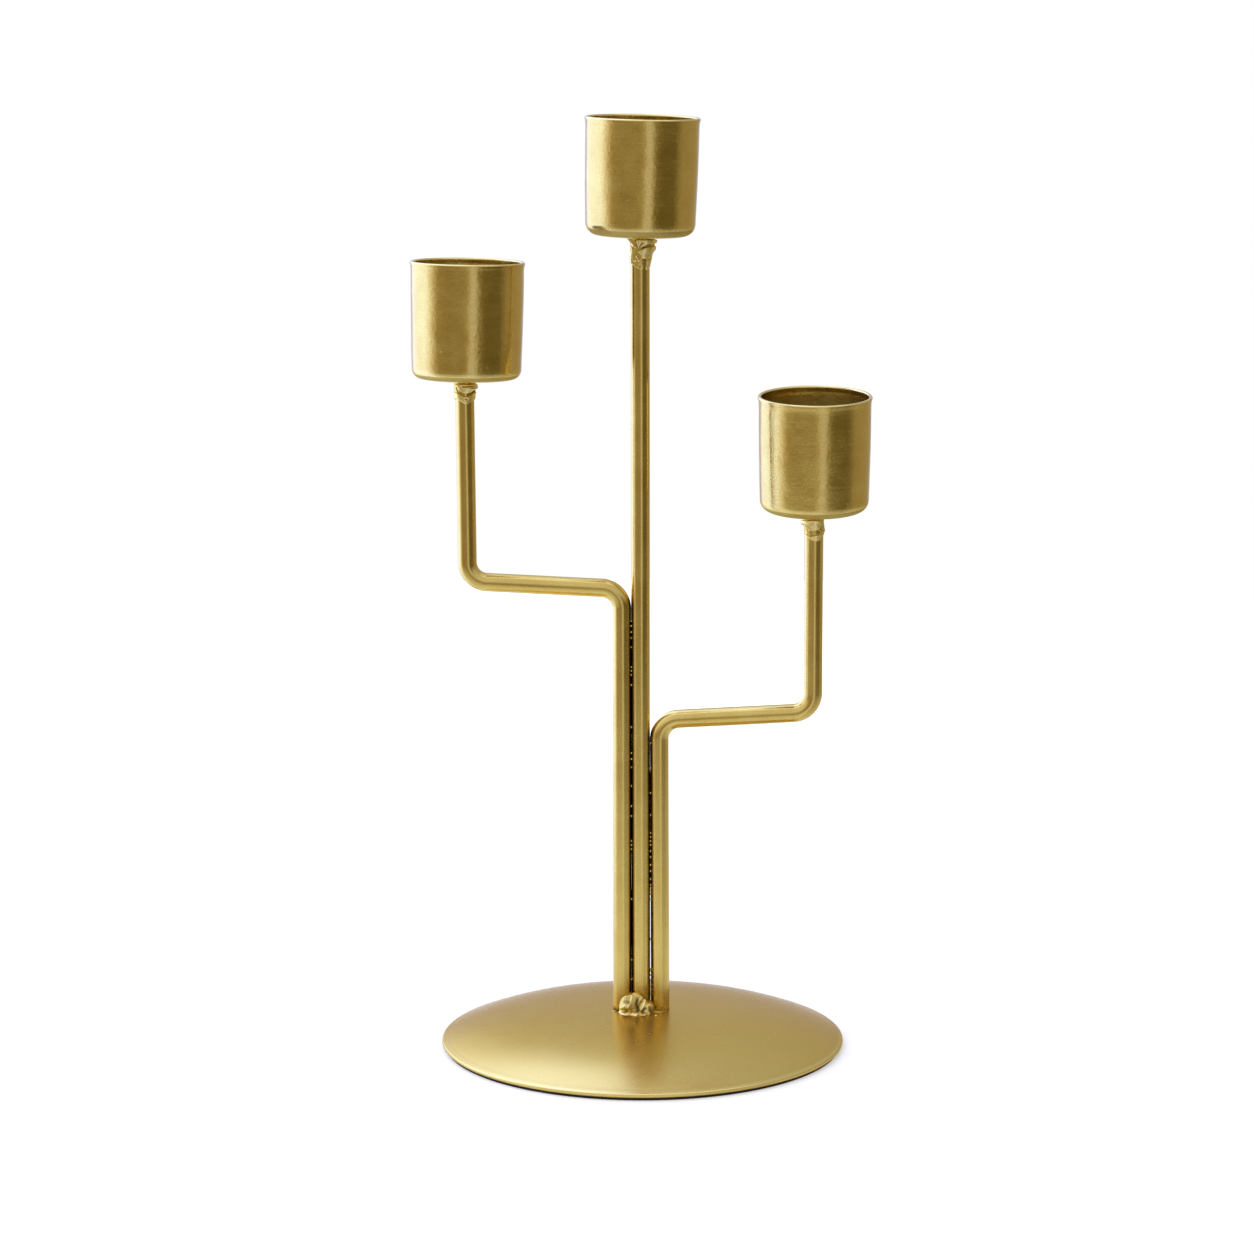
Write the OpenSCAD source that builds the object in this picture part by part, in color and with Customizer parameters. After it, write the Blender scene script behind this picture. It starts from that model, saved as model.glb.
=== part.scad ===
// Table candelabra: three pressed cups on three welded rods over a round domed base.
// Lengths are in millimetres, angles in degrees. Up is +Z and the front faces -Y.

/* [Base] */

// Width of the round base across its rim
base_d = 100; // [80:1:140]
// Height of the base's crown above the table
base_h = 8.9; // [6:0.1:14]
// Thickness of the base's sheet metal, folded double at the rim
base_sheet = 0.55; // [0.4:0.05:1.2]
// Width of the flat hem that the rim is folded under to
hem_w = 4; // [2:0.1:8]
// Depth of the faint groove just inside the rim
groove_depth = 0.03; // [0.01:0.01:0.1]
// Width of the faint groove
groove_w = 0.5; // [0.3:0.05:1]
// Thickness of the foam pad under the base
pad_t = 0.7; // [0.4:0.05:2]
// Distance that the pad's edge stands in from the rim
pad_inset = 0.85; // [0.6:0.05:3]

/* [Rods] */

// Diameter of each of the three rods
rod_d = 4.6; // [3.6:0.1:6]
// Bend radius of the rods on their centre line
bend_r = 5; // [3.5:0.1:8]
// Amount that a rod is thinner where it is bent
bend_thinning = 0.03; // [0.01:0.01:0.3]
// Distance of the centre rod from the middle of the base, to the left
stem_shift = 0.4; // [0:0.1:2]
// Distance from the left rod's stem to its cup
left_reach = 37.7; // [32:0.1:60]
// Height of the left rod's bend at the stem
left_bend_z = 115; // [100:0.5:140]
// Angle that the left arm rises outward
left_rise = 3; // [0:0.1:10]
// Angle that the left upright leans outward
left_splay = 0.4; // [0:0.1:2]
// Distance from the right rod's stem to its cup
right_reach = 37.8; // [32:0.1:60]
// Height of the right rod's bend at the stem
right_bend_z = 82.3; // [60:0.5:95]
// Angle that the right arm rises outward
right_rise = 2.8; // [0:0.1:10]
// Angle that the right rod's stem stands out at the foot
right_toe = 0.3; // [0:0.05:0.6]

/* [Cups] */

// Height of the centre cup's underside above the table
centre_cup_z = 201.4; // [185:0.5:230]
// Height of the left cup's underside above the table
left_cup_z = 166.8; // [150:0.5:180]
// Height of the right cup's underside above the table
right_cup_z = 134.4; // [110:0.5:150]
// Diameter of a cup at its mouth
cup_mouth_d = 28; // [24:0.1:32]
// Diameter of a cup above its bottom corner
cup_foot_d = 26.6; // [22:0.1:30]
// Height of a cup
cup_h = 28.4; // [20:0.1:40]
// Thickness of a cup's wall and floor
cup_wall = 0.6; // [0.4:0.05:1]
// Outside radius of a cup's bottom corner
cup_corner_r = 3.2; // [2:0.1:5]
// Thickness of the rounded lip at a cup's mouth
lip_t = 0.9; // [0.7:0.05:1.4]
// Amount that a cup's wall flares out to its lip
lip_flare = 0.16; // [0:0.02:0.4]
// Height over which a cup's wall flares
flare_h = 2; // [1:0.1:4]
// Angle that the centre cup leans to the right
centre_cup_lean = 1.3; // [0:0.1:3]
// Angle that the left cup leans to the right
left_cup_lean = 1; // [0:0.1:3]
// Angle that the left cup tips to the back
left_cup_back = 1.2; // [0:0.1:3]
// Distance of the left cup's middle from its rod, to the right
left_cup_shift = 0.5; // [0:0.1:1]
// Angle that the right cup tips to the front
right_cup_tip = 3.6; // [0:0.1:5]

/* [Welds] */

// Radius of the weld beads that join the rods side by side
stitch_r = 1.1; // [0.8:0.05:1.3]
// Length of the left groove's upper bead
left_upper_stitch_l = 18; // [8:0.5:24]
// Height of the middle of the left groove's upper bead
left_upper_stitch_z = 98; // [85:0.5:100]
// Length of the left groove's lower bead
left_lower_stitch_l = 13; // [8:0.5:24]
// Height of the middle of the left groove's lower bead
left_lower_stitch_z = 55; // [35:0.5:65]
// Length of the right groove's bead
right_stitch_l = 30; // [12:0.5:34]
// Height of the middle of the right groove's bead
right_stitch_z = 54; // [40:0.5:56]
// Length of one ripple along a weld bead
ripple_l = 1.5; // [1:0.1:3]
// Depth of the valleys between the ripples
ripple_depth = 0.12; // [0.05:0.01:0.3]
// Length of the weld collar under the centre cup
centre_collar_l = 6; // [4:0.1:9]
// Length of the weld collars under the two side cups
side_collar_l = 3.6; // [2:0.1:6]
// Amount that a collar stands out from its rod at the cup
collar_w = 0.9; // [0.5:0.05:1.5]

/* [Hidden] */

$fn = 96;

// Reach of every cut past the piece that it cuts
overrun = 10;
// Angle by which a bend reaches into the straight rod at each end
bend_overlap = 0.5;

// Base: the rim is the sheet folded under round its own thickness, and the crown meets it smoothly
rim_r = base_sheet;
rim_mid_r = base_d / 2 - rim_r;
rim_mid_z = pad_t + rim_r;
hem_r = rim_mid_r - hem_w;
crown_rise = base_h - rim_mid_z;
crown_r = (rim_mid_r * rim_mid_r + crown_rise * crown_rise - rim_r * rim_r)
    / (2 * (crown_rise - rim_r));
crown_mid_z = base_h - crown_r;
rim_turn = asin(rim_mid_r / (crown_r - rim_r));
groove_r = rim_mid_r - 2 * rim_r;
groove_z = crown_z(groove_r) - groove_depth;
groove_turn = asin((groove_r + groove_w) / crown_r);
rim_steps = 16;
edge_steps = 4;
pad_r = base_d / 2 - pad_inset;

// Rods: corner points of the centre lines as [x, z]
centre_x = -stem_shift;
left_stem_x = centre_x - rod_d;
right_stem_x = centre_x + rod_d;
bend_reach = bend_r * tan((90 - right_rise) / 2);
right_leave_z = right_bend_z - bend_reach;
left_corner = [left_stem_x, left_bend_z];
left_elbow = [left_stem_x - left_reach, left_bend_z + left_reach * tan(left_rise)];
left_top_z = left_cup_z + overrun;
left_top = [left_elbow[0] - (left_top_z - left_elbow[1]) * tan(left_splay), left_top_z];
left_path = [[left_stem_x, 0], left_corner, left_elbow, left_top];
right_foot_x = right_stem_x + right_leave_z * tan(right_toe);
right_corner = [right_stem_x - bend_reach * tan(right_toe), right_bend_z];
right_elbow = [right_corner[0] + right_reach, right_bend_z + right_reach * tan(right_rise)];
right_top = [right_elbow[0], right_cup_z + overrun];
right_path = [[right_foot_x, 0], right_corner, right_elbow, right_top];

// Cup section: a drawn wall that narrows faster toward the floor
mouth_r = cup_mouth_d / 2;
foot_r = cup_foot_d / 2;
lip_r = lip_t / 2;
lip_mid_r = mouth_r - lip_r;
lip_mid_z = cup_h - lip_r;
corner_mid_r = foot_r - cup_corner_r;
inner_corner_r = cup_corner_r - cup_wall;
wall_top_r = mouth_r - lip_r / 3;
wall_rise = lip_mid_z - cup_corner_r;
wall_steps = 14;
wall_power_share = 1.7;
wall_spread_share = 1.6;
corner_steps = 8;

// Places of the cups' undersides
left_joint_x = left_elbow[0] - (left_cup_z - left_elbow[1]) * tan(left_splay);
centre_cup_at = [centre_x, 0, centre_cup_z];
left_cup_at = [left_joint_x + left_cup_shift, 0, left_cup_z];
right_cup_at = [right_elbow[0], 0, right_cup_z];
centre_cup_turn = [0, centre_cup_lean, 0];
left_cup_turn = [-left_cup_back, left_cup_lean, 0];
right_cup_turn = [right_cup_tip, 0, 0];

// Weld beads lie this share of a rod's diameter behind the middle of the rods
stitch_sink_share = 0.4;
stitch_y = rod_d * stitch_sink_share;

// Weld lumps as [x, y, z, radius] in rod diameters, from the middle of each joint
centre_weld_shares = [[-0.40, -0.24, -0.14, 0.36], [0.34, -0.26, -0.16, 0.35],
                      [-0.16, -0.38, -0.34, 0.33], [0.20, -0.40, -0.44, 0.32],
                      [-0.30, -0.34, -0.80, 0.27], [0.26, -0.36, -0.92, 0.27],
                      [-0.26, -0.38, -1.16, 0.19], [0.24, -0.38, -1.34, 0.20],
                      [0.22, -0.38, -1.62, 0.16]];
left_weld_shares = [[0.02, -0.36, -0.24, 0.33], [0.34, -0.26, -0.20, 0.28],
                    [-0.28, -0.28, -0.20, 0.28], [-0.16, -0.34, -0.74, 0.24],
                    [0.14, -0.36, -0.80, 0.25], [0.02, -0.40, -0.98, 0.18]];
right_weld_shares = [[-0.06, -0.38, -0.46, 0.34], [0.28, -0.28, -0.42, 0.29],
                     [-0.30, -0.26, -0.40, 0.28], [0.04, -0.36, -0.74, 0.22],
                     [0.20, -0.34, -1.10, 0.27], [-0.08, -0.38, -1.18, 0.22],
                     [0.14, -0.40, -1.38, 0.19]];
base_weld_shares = [[-0.60, -0.58, 0.28, 0.54], [-0.30, -0.60, 0.44, 0.54],
                    [0.06, -0.54, 0.36, 0.52], [0.36, -0.58, 0.14, 0.44],
                    [-0.86, -0.78, 0.02, 0.36], [-0.36, -0.96, 0.02, 0.40],
                    [0.16, -0.92, 0.02, 0.36], [0.56, -0.74, 0.02, 0.28],
                    [0.80, -0.80, 0.00, 0.17], [0.98, -0.70, 0.00, 0.16],
                    [1.14, -0.64, 0.00, 0.15], [1.30, -0.58, 0.00, 0.14]];

function heading(p, q) = atan2(q[1] - p[1], q[0] - p[0]);
function along(a) = [cos(a), sin(a)];
function turn(a, b) = ((b - a + 540) % 360) - 180;
function arc(mid_r, mid_z, r, from, to, steps) =
    [for (i = [0 : steps]) let (a = from + (to - from) * i / steps)
        [mid_r + r * cos(a), mid_z + r * sin(a)]];
function crown_z(r) = crown_mid_z + sqrt(crown_r * crown_r - r * r);
function ease(t) = t * t * (3 - 2 * t);
function flare(u) = lip_flare * (1 - u) * ease(min(1, u * wall_rise / flare_h));
function wall_r(u) = wall_top_r - (wall_top_r - foot_r) * pow(u, wall_power_share) - flare(u);
function wall_z(u) = lip_mid_z - wall_rise * u;

// Straight length of rod from p to q
module run(p, q) {
    translate([p[0], 0, p[1]])
        rotate([0, 90 - heading(p, q), 0])
            cylinder(d = rod_d, h = norm(q - p));
}

// Elbow of rod at corner c, reaching a little way into the straights from p and to q
module elbow(p, c, q) {
    a = heading(p, c);
    b = heading(c, q);
    swing = turn(a, b);
    side = sign(swing);
    start = c - bend_r * tan(abs(swing) / 2) * along(a);
    mid = start + side * bend_r * along(a + 90);
    from = side > 0 ? a - 90 : b + 90;
    translate([mid[0], 0, mid[1]])
        rotate([90, 0, 0])
            rotate([0, 0, from - bend_overlap])
                rotate_extrude(angle = abs(swing) + 2 * bend_overlap)
                    translate([bend_r, 0])
                        circle(d = rod_d - bend_thinning);
}

function trim(p, c, q) = bend_r * tan(abs(turn(heading(p, c), heading(c, q))) / 2);

// Rod bent twice along a path of four corner points
module bent_rod(path) {
    first = trim(path[0], path[1], path[2]);
    second = trim(path[1], path[2], path[3]);
    arm = heading(path[1], path[2]);
    run(path[0], path[1] - first * along(heading(path[0], path[1])));
    elbow(path[0], path[1], path[2]);
    run(path[1] + first * along(arm), path[2] - second * along(arm));
    elbow(path[1], path[2], path[3]);
    run(path[2] + second * along(heading(path[2], path[3])), path[3]);
}

// Ball whose front is the crown of the base
module crown_ball(r) {
    translate([0, 0, crown_mid_z])
        sphere(r = r, $fn = 200);
}

// Everything above a cup's underside, for cutting what ends there
module above_cup(at, lean) {
    translate(at)
        rotate(lean)
            cylinder(r = cup_mouth_d, h = cup_h + overrun);
}

// Pressed cup standing on its underside
module cup() {
    places = [for (i = [0 : wall_steps]) pow(i / wall_steps, wall_spread_share)];
    outer = [for (u = places) [wall_r(u), wall_z(u)]];
    inner = [for (i = [wall_steps : -1 : 0]) outer[i] - [cup_wall, 0]];
    rotate_extrude()
        polygon(concat([[0, 0]],
            arc(corner_mid_r, cup_corner_r, cup_corner_r, -90, 0, corner_steps),
            [for (i = [wall_steps - 1 : -1 : 0]) outer[i]],
            arc(lip_mid_r, lip_mid_z, lip_r, 0, 180, corner_steps),
            [for (i = [wall_steps : -1 : 1]) inner[i]],
            arc(corner_mid_r, cup_corner_r, inner_corner_r, 0, -90, corner_steps),
            [[0, cup_wall]]));
}

module placed_cup(at, lean) {
    translate(at)
        rotate(lean)
            cup();
}

// Collar of weld metal that widens up to a cup's underside
module collar(at, lean, l) {
    translate(at)
        rotate(lean)
            translate([0, 0, -l])
                cylinder(d1 = rod_d, d2 = rod_d + 2 * collar_w, h = l);
}

// Lumps of weld metal round a joint at a point
module lumps(at, shares) {
    for (s = shares)
        translate(at + rod_d * [s[0], s[1], s[2]])
            sphere(r = rod_d * s[3], $fn = 48);
}

module base_plate() {
    color("goldenrod") {
        intersection() {
            difference() {
                crown_ball(crown_r);
                crown_ball(crown_r - base_sheet);
            }
            cylinder(r = groove_r, h = base_h + overrun);
        }
        rotate_extrude()
            polygon(concat([[hem_r, pad_t]],
                arc(rim_mid_r, rim_mid_z, rim_r, -90, 90 - rim_turn, rim_steps),
                [for (i = [1 : edge_steps])
                    let (a = rim_turn + (groove_turn - rim_turn) * i / edge_steps)
                        [crown_r * sin(a), crown_mid_z + crown_r * cos(a)]],
                [[groove_r, groove_z],
                 [groove_r - rim_r / 2, groove_z - rim_r / 2],
                 [rim_mid_r - rim_r, rim_mid_z],
                 [hem_r, rim_mid_z]]));
    }
}

module base_pad() {
    color("dimgray")
        cylinder(r = pad_r, h = pad_t);
}

module centre_rod_solid() {
    difference() {
        run([centre_x, 0], [centre_x, centre_cup_z + overrun]);
        crown_ball(crown_r);
        above_cup(centre_cup_at, centre_cup_turn);
    }
}

module left_rod_solid() {
    difference() {
        bent_rod(left_path);
        crown_ball(crown_r);
        above_cup(left_cup_at, left_cup_turn);
    }
}

module right_rod_solid() {
    difference() {
        bent_rod(right_path);
        crown_ball(crown_r);
        above_cup(right_cup_at, right_cup_turn);
    }
}

module centre_rod() { color("gold") centre_rod_solid(); }
module left_rod() { color("gold") left_rod_solid(); }
module right_rod() { color("gold") right_rod_solid(); }

module centre_cup() { color("khaki") placed_cup(centre_cup_at, centre_cup_turn); }
module left_cup() { color("khaki") placed_cup(left_cup_at, left_cup_turn); }
module right_cup() { color("khaki") placed_cup(right_cup_at, right_cup_turn); }

module base_weld() {
    color("tan")
        difference() {
            lumps([centre_x, 0, base_h], base_weld_shares);
            run([centre_x, 0], [centre_x, left_bend_z]);
            run(left_path[0], left_path[1]);
            run(right_path[0], right_path[1]);
            crown_ball(crown_r);
        }
}

module centre_cup_weld() {
    color("tan")
        difference() {
            union() {
                collar(centre_cup_at, centre_cup_turn, centre_collar_l);
                lumps(centre_cup_at, centre_weld_shares);
            }
            run([centre_x, 0], [centre_x, centre_cup_z + overrun]);
            above_cup(centre_cup_at, centre_cup_turn);
        }
}

module left_cup_weld() {
    color("tan")
        difference() {
            union() {
                collar([left_joint_x, 0, left_cup_z], left_cup_turn, side_collar_l);
                lumps([left_joint_x, 0, left_cup_z], left_weld_shares);
            }
            run(left_path[2], left_path[3]);
            above_cup(left_cup_at, left_cup_turn);
        }
}

module right_cup_weld() {
    color("tan")
        difference() {
            union() {
                collar(right_cup_at, right_cup_turn, side_collar_l);
                lumps(right_cup_at, right_weld_shares);
            }
            run(right_path[2], right_path[3]);
            above_cup(right_cup_at, right_cup_turn);
        }
}

// Rippled bead of weld in the rear groove between two rods, round at both ends
module stitch(x, z, l) {
    body = l - 2 * stitch_r;
    ripples = max(1, round(body / ripple_l));
    step = body / ripples;
    translate([x, stitch_y, z - body / 2])
        rotate_extrude()
            polygon(concat([[0, body + stitch_r], [0, -stitch_r]],
                arc(0, 0, stitch_r, -90, 0, corner_steps),
                [for (i = [1 : ripples]) each
                    [[stitch_r - ripple_depth, (i - 1 / 2) * step], [stitch_r, i * step]]],
                arc(0, body, stitch_r, 0, 90, corner_steps)));
}

module left_upper_stitch() {
    color("tan")
        difference() {
            stitch(centre_x - rod_d / 2, left_upper_stitch_z, left_upper_stitch_l);
            run([centre_x, 0], [centre_x, centre_cup_z]);
            run(left_path[0], left_path[1]);
        }
}

module left_lower_stitch() {
    color("tan")
        difference() {
            stitch(centre_x - rod_d / 2, left_lower_stitch_z, left_lower_stitch_l);
            run([centre_x, 0], [centre_x, centre_cup_z]);
            run(left_path[0], left_path[1]);
        }
}

module right_stitch() {
    color("tan")
        difference() {
            stitch(centre_x + rod_d / 2, right_stitch_z, right_stitch_l);
            run([centre_x, 0], [centre_x, centre_cup_z]);
            run(right_path[0], right_path[1]);
        }
}

base_plate();
base_pad();
centre_rod();
left_rod();
right_rod();
centre_cup();
left_cup();
right_cup();
base_weld();
centre_cup_weld();
left_cup_weld();
right_cup_weld();
left_upper_stitch();
left_lower_stitch();
right_stitch();
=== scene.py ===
"""Table candelabra: three pressed cups on three welded rods over a round domed base.

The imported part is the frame. Lengths below are in millimetres and angles in degrees, in the
part's own frame. Most sizes repeat the part's. The crown, the cups' lower corners, the groove's
depth and the right rod's foot follow the photograph a little closer.
"""
import math

import bmesh
import bpy
import numpy as np
from mathutils import Euler, Matrix, Vector, noise


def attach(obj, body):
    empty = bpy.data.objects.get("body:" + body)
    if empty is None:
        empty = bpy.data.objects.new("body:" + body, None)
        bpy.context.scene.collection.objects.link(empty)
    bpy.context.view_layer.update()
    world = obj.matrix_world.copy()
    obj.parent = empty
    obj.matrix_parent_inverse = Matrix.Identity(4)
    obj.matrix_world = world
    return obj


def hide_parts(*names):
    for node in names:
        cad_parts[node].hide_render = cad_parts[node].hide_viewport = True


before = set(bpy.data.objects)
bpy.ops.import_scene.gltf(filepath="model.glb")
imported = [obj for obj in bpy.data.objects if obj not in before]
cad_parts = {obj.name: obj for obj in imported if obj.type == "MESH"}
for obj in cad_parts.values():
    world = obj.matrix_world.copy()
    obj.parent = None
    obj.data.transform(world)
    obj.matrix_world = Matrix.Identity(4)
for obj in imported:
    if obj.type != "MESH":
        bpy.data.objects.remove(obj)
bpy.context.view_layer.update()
MM = 0.001

# Camera, fitted to the photograph
CAMERA_AT = (-3.72, -950.0, 276.8)
CAMERA_PITCH = 10.22
CAMERA_ROLL = -0.09
CAMERA_CLIP = (0.05, 50.0)
SENSOR_W = 36.0
PHOTO_W = 1254
PHOTO_MIDDLE = PHOTO_W / 2
FOCAL_PX = 3935.5

# Base: the crown runs into the rolled rim, with a faint groove pressed beside it
BASE_R, BASE_H, BASE_SHEET = 50.0, 8.9, 0.55
HEM_W, HEM_TURN, PAD_T = 4.0, 1.2, 0.7
GROOVE_DEPTH, GROOVE_W = 0.012, 0.5
RIM_MID_R = BASE_R - BASE_SHEET
RIM_MID_Z = PAD_T + BASE_SHEET
GROOVE_R = RIM_MID_R - 2 * BASE_SHEET
CROWN_POWER = 3.0
CROWN_RISE = BASE_H - RIM_MID_Z - BASE_SHEET
# Slow waves in the sheet, as (waves per millimetre, height)
BASE_WAVE = (0.05, 0.025)
# The waves begin and are full this far inside the groove, and this far out from the middle
BASE_WAVES_OUT, BASE_WAVES_IN = (0.5, 8), (3, 12)
# The rim is worn bright on top, and the groove gets a little painted shade
RIM_WEAR, RIM_WEAR_W, GROOVE_SHADE = 0.5, 0.7, 0.04

# Cups: where the underside's middle is, how the cup leans, how round its lower corner is, and how
# dull its wall
CUPS = {
    "centre_cup": ((-0.4, 0.0, 201.4), (0.0, 1.3, 0.0), 3.1, 0.0),
    "left_cup": ((-42.55, 0.0, 166.8), (-1.2, 1.0, 0.0), 2.5, 0.0),
    "right_cup": ((41.975, 0.0, 134.4), (3.6, 0.0, 0.0), 2.8, 0.1),
}
CUP_H, CUP_WALL = 28.4, 0.6
MOUTH_R, FOOT_R, LIP_R = 14.0, 13.3, 0.45
# The wall narrows faster towards the floor, and flares a little at the lip
DRAW_POWER = 1.7
FLARE, FLARE_H = 0.16, 2.0
WALL_TOP_R = MOUTH_R - LIP_R / 3
LIP_MID = (MOUTH_R - LIP_R, CUP_H - LIP_R)
# The innermost ring of the floor, and the radius within which nothing is dented
CUP_HUB, CUP_STILL_R = 0.5, 4
# How far the cup is out of round, and its waves and dents as (waves per millimetre, depth)
CUP_OVAL = 0.03
CUP_WAVE, CUP_DENT = (0.09, 0.10), (0.35, 0.024)
# Marks of use: a worn lip and a worn and dull lower corner. The inside gets painted shade and
# turns dull, deeper down. A pair says how far below the mouth a mark begins and is full.
LIP_WEAR, LIP_FADE = 0.5, (0.5, 0.1)
CORNER_WEAR, CORNER_DULL, CORNER_FADE = 0.4, 0.3, 0.5
INSIDE_SHADE, INSIDE_DULL, INSIDE_FADE = 0.33, 0.8, (0.5, 6)

# Rods, as corner points of their centre lines in x and z
ROD_R, BEND_R = 2.3, 5.0
CENTRE_X = -0.4
LEFT_X = CENTRE_X - 2 * ROD_R
ROD_INTO_BASE = 0.4
FOOT_Z = BASE_H - ROD_INTO_BASE
RODS = {
    "centre_rod": [(CENTRE_X, FOOT_Z), (CENTRE_X, 201.7)],
    "left_rod": [(LEFT_X, FOOT_Z), (LEFT_X, 115.0), (-42.7, 116.976), (-43.05, 167.1)],
    "right_rod": [(4.44, FOOT_Z), (4.19, 82.3), (41.975, 84.149), (41.975, 134.7)],
}
# Slow waves in a rod's thickness, as (waves per millimetre, share of the radius)
ROD_WAVE = (0.07, 0.006)
# Painted shade, black, in the grooves where the rods touch, as (x, how high up they reach)
GROOVES = [(CENTRE_X - ROD_R, 112.5), (CENTRE_X + ROD_R, 80.0)]
# How far beside the touching line that black thins out and is gone, and half the height over
# which it fades at the top
GROOVE_DARK, GROOVE_END = (0.22, 0.62), 1.5
# The painted shadow at the rods' feet, a black line: how far above the crown it thins out and is
# gone, and how much of it shows to the right of FOOT_SPLIT
FOOT_DARK, FOOT_SPLIT, FOOT_SHARE = (0.1, 0.4), LEFT_X + 1, 0.3

# Stitches behind the rods: middle x and z, and length
STITCH_R, STITCH_Y = 1.1, 1.84
STITCHES = {"left_upper_stitch": (-2.7, 98.0, 18.0), "left_lower_stitch": (-2.7, 55.0, 13.0),
            "right_stitch": (1.9, 54.0, 30.0)}
# Their ripples: how long, how far they slant, how deep as a share of the radius, and how dark
# the painted shade in their hollows gets
RIPPLE_L, RIPPLE_LEAN, RIPPLE_SHARE = 1.8, 1.6, 0.05
STITCH_SHADE, RIPPLE_DARK = 0.3, (0.3, 1.0)

# Sides, rows and steps of the meshes, and their longest facets in millimetres
CUP_SIDES, CUP_ROWS, CUP_FACET = 160, 40, 0.8
CORNER_STEPS, LIP_STEPS, INNER_STEPS = 20, 10, 16
BASE_SIDES, BASE_ROWS, RIM_STEPS, SHEET_STRIDE = 256, 160, 16, 5
ROD_SIDES, ROD_FACET, BEND_STEPS = 56, 1.5, 24
STITCH_SIDES, STITCH_FACET, STITCH_STEPS = 40, 0.25, 8
WELD_LEVEL, GRAIN_LEVEL = 7, 3
COLLAR_SIDES, COLLAR_ROWS = 200, 150

# Welds. Marks are in the photograph's own pixels, so that each lies where it shows: a mark is
# (line, push in millimetres, width in pixels), and a facet is (outline, push at its top and foot).
# Facets and raised marks get painted highlight, sunk marks painted shade. A skirt is the line where
# the weld ends on its rod. BLEND is how sharply the blobs meet, and BLOB_CORE the least radius of
# their sum.
BLEND, BLOB_CORE = 12.0, 0.2
BASE_WELD_MIDDLE = (-1.4, -2.6, 0.5)
# Its folds as (width, height), how deep it sinks into the crown, how much painted highlight and
# painted shade its marks give, and the least painted shade over all of it
BASE_WELD_FOLDS, BASE_WELD_SINK = (2.4, 0.12), 0.25
BASE_WELD_HIGHLIGHT, BASE_WELD_SHADE, BASE_WELD_LEAST_SHADE = 0.55, 0.8, 0.12
# How far a weld has to face the front for its marks to begin and to be full
BASE_WELD_FRONT, COLLAR_FRONT = (-0.1, 0.35), (-0.5, -0.1)
BASE_BLOBS = [
    ((-3.1, -2.2, 1.2), (2.7, 3.2, 3.3)), ((-1.4, -2.2, 1.5), (2.4, 3.0, 3.5)),
    ((1.0, -2.6, 0.4), (2.1, 3.1, 2.4)), ((-1.5, -3.8, -0.2), (4.1, 3.2, 1.2)),
    ((4.2, -2.2, -0.25), (2.2, 2.5, 0.45)),
]
BASE_MARKS = [
    ([(618.5, 1000), (619, 1005), (621, 1010)], 0.34, 1.3),
    ([(620.5, 1012), (624, 1014.5), (628, 1016)], 0.50, 1.3),
    ([(623, 1008), (626, 1006.5), (628.5, 1009), (630, 1005), (631.5, 1001), (632.5, 997)],
     0.34, 1.4),
    ([(624, 997), (629, 997), (631, 995.5), (633.5, 993)], 0.34, 1.2),
    ([(634.5, 1017.5), (637, 1014), (640, 1010.5), (642, 1008), (644, 1004), (645, 1000)],
     0.42, 1.3),
    ([(642.5, 1016.5), (645.5, 1013.5)], 0.36, 1.2), ([(643.5, 995.5), (641, 1000)], 0.2, 1.2),
    ([(649, 1004), (652.5, 1006.5)], 0.25, 1.2), ([(647.5, 1008), (648, 1008.5)], 0.25, 1.3),
    ([(649, 1016), (650, 1016.5)], 0.25, 1.2), ([(620, 995), (621, 995.5)], 0.2, 0.9),
    ([(619.5, 998.5), (622, 997.5)], 0.2, 0.9),
    ([(637.5, 999), (636.5, 1004), (638, 1009)], -0.5, 1.9),
    ([(625, 1002), (628, 1002.5)], -0.35, 2.4),
    ([(625, 1010.5), (627.5, 1010)], -0.3, 1.2), ([(641, 1002.5), (638.5, 1007)], -0.25, 1.3),
    ([(646, 1008.5), (643, 1012.5)], -0.45, 1.4),
    ([(650, 1008.5), (652, 1012), (654, 1016)], -0.4, 1.7),
    ([(631, 1011), (630.5, 1014)], -0.25, 1.6),
]
CENTRE_FACETS = [
    ([(636.5, 239.5), (651, 239.5), (650, 243), (645, 246), (641, 248), (637.5, 249.5), (636, 243)],
     0.62, 0.34),
    ([(638.5, 251), (642, 248.5), (645.5, 247), (650, 246), (650.5, 250), (648.5, 257),
      (645, 259.5), (641, 257.5)], 0.52, 0.24),
]
CENTRE_MARKS = [
    ([(626, 237), (629, 240.5), (632, 245), (634.5, 249)], -0.34, 0.9),
    ([(634.5, 249), (636.5, 253), (639, 257), (642, 260), (646, 260.5)], -0.26, 0.9),
    ([(631.5, 239), (633, 243), (635, 247)], 0.34, 1.0),
    ([(636, 240), (637, 245), (638.3, 249.5), (636.5, 252)], -0.24, 0.8),
    ([(642, 242.5), (639.5, 247.5)], -0.26, 0.7), ([(646.5, 244.5), (641, 248.8)], -0.26, 0.8),
    ([(653, 243), (652, 247)], -0.25, 0.9), ([(650, 251.5), (650, 253.5)], -0.22, 0.9),
    ([(645, 260), (644.7, 267.5)], -0.34, 1.0), ([(641, 262), (642, 268)], 0.20, 1.3),
    ([(647.5, 262), (647, 269)], 0.26, 1.3), ([(637.5, 257.5), (638.5, 260)], 0.2, 0.9),
    ([(632.5, 250), (632, 256), (631.5, 262)], 0.18, 1.3), ([(635.5, 254), (635, 260)], -0.16, 1.0),
    ([(639, 263), (637, 266)], -0.16, 1.2),
]
CENTRE_SKIRT = [(628, 263), (632, 264), (636, 268), (640, 269.5), (643, 269), (644.7, 267),
                (646, 270), (649, 269), (652, 262)]
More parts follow.
